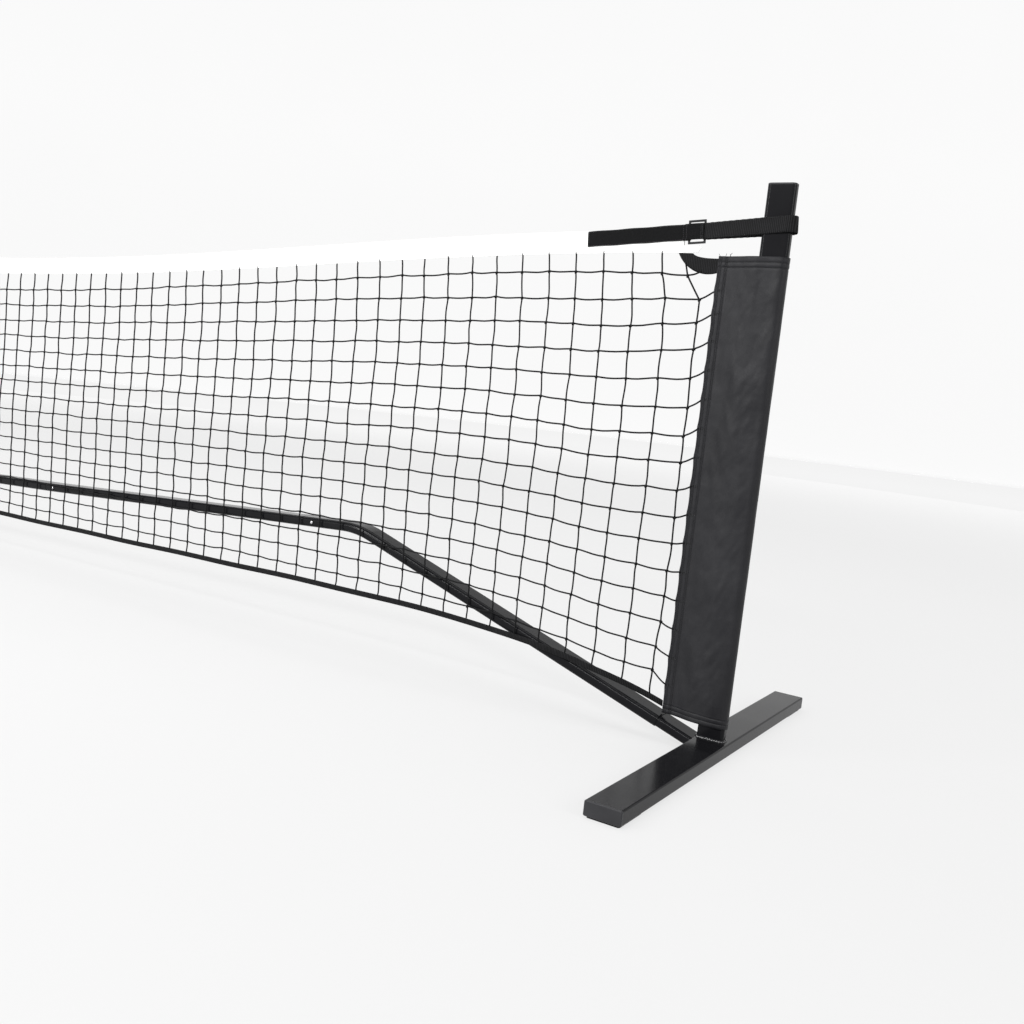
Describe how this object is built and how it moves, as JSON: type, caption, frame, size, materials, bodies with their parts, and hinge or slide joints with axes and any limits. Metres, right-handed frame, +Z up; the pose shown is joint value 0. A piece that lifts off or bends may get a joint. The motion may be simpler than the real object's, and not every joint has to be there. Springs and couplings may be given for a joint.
{
  "type": "pickleball portable net",
  "caption": "Portable court net on a tubular frame: two posts on crossbar feet, plug-together bottom rails, laced mesh with white top tape, end sleeves and hook-and-loop straps.",
  "frame": {"origin": "on the floor, midway between the two posts, centred between the feet's ends", "axes": "+X along the net from its left post to its right post, -Y towards the side with the hook-and-loop straps, +Z up"},
  "size_m": [6.782, 0.9, 1.026],
  "materials": {
    "coated_steel": "semi-gloss powder coat",
    "weld_metal": "coated weld bead, gloss",
    "cap_plastic": "satin",
    "pad_rubber": "matte",
    "sleeve_cloth": "plain-weave nylon, soft sheen",
    "webbing": "ribbed nylon webbing",
    "ring_plastic": "satin",
    "hook_tape": "hook tape",
    "strap_pile": "brushed loop pile",
    "button_steel": "nickel plated",
    "spring_steel": "blued spring steel",
    "net_twine": "knotted nylon twine",
    "white_tape": "white vinyl-coated polyester"
  },
  "bodies": {
    "frame": {"right_foot_tube": "coated_steel", "left_foot_tube": "coated_steel", "right_post_tube": "coated_steel", "left_post_tube": "coated_steel", "right_rail_stub": "coated_steel", "left_rail_stub": "coated_steel", "right_rail_bent": "coated_steel", "left_rail_bent": "coated_steel", "right_rail_straight_1": "coated_steel", "left_rail_straight_1": "coated_steel", "right_rail_straight_2": "coated_steel", "left_rail_straight_2": "coated_steel", "right_weld_beads": "weld_metal", "left_weld_beads": "weld_metal", "right_foot_cap_front": "cap_plastic", "left_foot_cap_front": "cap_plastic", "right_foot_cap_back": "cap_plastic", "left_foot_cap_back": "cap_plastic", "right_post_cap": "cap_plastic", "left_post_cap": "cap_plastic", "right_foot_pad_front": "pad_rubber", "left_foot_pad_front": "pad_rubber", "right_foot_pad_back": "pad_rubber", "left_foot_pad_back": "pad_rubber", "rail_straight_middle": "coated_steel", "snap_spring_clips": "spring_steel"},
    "net": {"right_sleeve": "sleeve_cloth", "left_sleeve": "sleeve_cloth", "right_corner_tab": "webbing", "left_corner_tab": "webbing", "right_post_loop": "webbing", "left_post_loop": "webbing", "right_strap_base": "webbing", "left_strap_base": "webbing", "right_strap_ring": "ring_plastic", "left_strap_ring": "ring_plastic", "right_hook_patch": "hook_tape", "left_hook_patch": "hook_tape", "net_mesh": "net_twine", "bottom_hem": "webbing", "top_tape": "white_tape", "tape_core_webbing": "webbing"},
    "right_strap": {"right_strap_tail": "strap_pile"},
    "left_strap": {"left_strap_tail": "strap_pile"},
    "right_button_foot_joint": {"right_button_foot_joint": "button_steel"},
    "left_button_foot_joint": {"left_button_foot_joint": "button_steel"},
    "right_button_rail_joint_1": {"right_button_rail_joint_1": "button_steel"},
    "left_button_rail_joint_1": {"left_button_rail_joint_1": "button_steel"},
    "right_button_rail_joint_2": {"right_button_rail_joint_2": "button_steel"},
    "left_button_rail_joint_2": {"left_button_rail_joint_2": "button_steel"},
    "right_button_rail_joint_3": {"right_button_rail_joint_3": "button_steel"},
    "left_button_rail_joint_3": {"left_button_rail_joint_3": "button_steel"}
  },
  "joints": [
    {"name": "net_lift", "type": "slide", "parent": "frame", "child": "net", "axis": [0, 0, 1], "range_m": [0, 0.97]},
    {"name": "right_strap_peel", "type": "hinge", "parent": "net", "child": "right_strap", "pos_m": [3.18167, -0.0055, 0.93983], "axis": [-0.0797, 0, 0.9968], "range_deg": [0, 165]},
    {"name": "left_strap_peel", "type": "hinge", "parent": "net", "child": "left_strap", "pos_m": [-3.18167, -0.0055, 0.93983], "axis": [-0.0797, 0, -0.9968], "range_deg": [0, 165]},
    {"name": "right_press_foot_joint", "type": "slide", "parent": "frame", "child": "right_button_foot_joint", "axis": [0, -1, 0], "range_m": [0, 0.0045], "stiffness_N_per_m": 1500, "springref_m": -0.0015},
    {"name": "left_press_foot_joint", "type": "slide", "parent": "frame", "child": "left_button_foot_joint", "axis": [0, -1, 0], "range_m": [0, 0.0045], "stiffness_N_per_m": 1500, "springref_m": -0.0015},
    {"name": "right_press_rail_joint_1", "type": "slide", "parent": "frame", "child": "right_button_rail_joint_1", "axis": [0, 1, 0], "range_m": [0, 0.0045], "stiffness_N_per_m": 1500, "springref_m": -0.0015},
    {"name": "left_press_rail_joint_1", "type": "slide", "parent": "frame", "child": "left_button_rail_joint_1", "axis": [0, 1, 0], "range_m": [0, 0.0045], "stiffness_N_per_m": 1500, "springref_m": -0.0015},
    {"name": "right_press_rail_joint_2", "type": "slide", "parent": "frame", "child": "right_button_rail_joint_2", "axis": [0, 1, 0], "range_m": [0, 0.0045], "stiffness_N_per_m": 1500, "springref_m": -0.0015},
    {"name": "left_press_rail_joint_2", "type": "slide", "parent": "frame", "child": "left_button_rail_joint_2", "axis": [0, 1, 0], "range_m": [0, 0.0045], "stiffness_N_per_m": 1500, "springref_m": -0.0015},
    {"name": "right_press_rail_joint_3", "type": "slide", "parent": "frame", "child": "right_button_rail_joint_3", "axis": [0, 1, 0], "range_m": [0, 0.0045], "stiffness_N_per_m": 1500, "springref_m": -0.0015},
    {"name": "left_press_rail_joint_3", "type": "slide", "parent": "frame", "child": "left_button_rail_joint_3", "axis": [0, 1, 0], "range_m": [0, 0.0045], "stiffness_N_per_m": 1500, "springref_m": -0.0015}
  ]
}
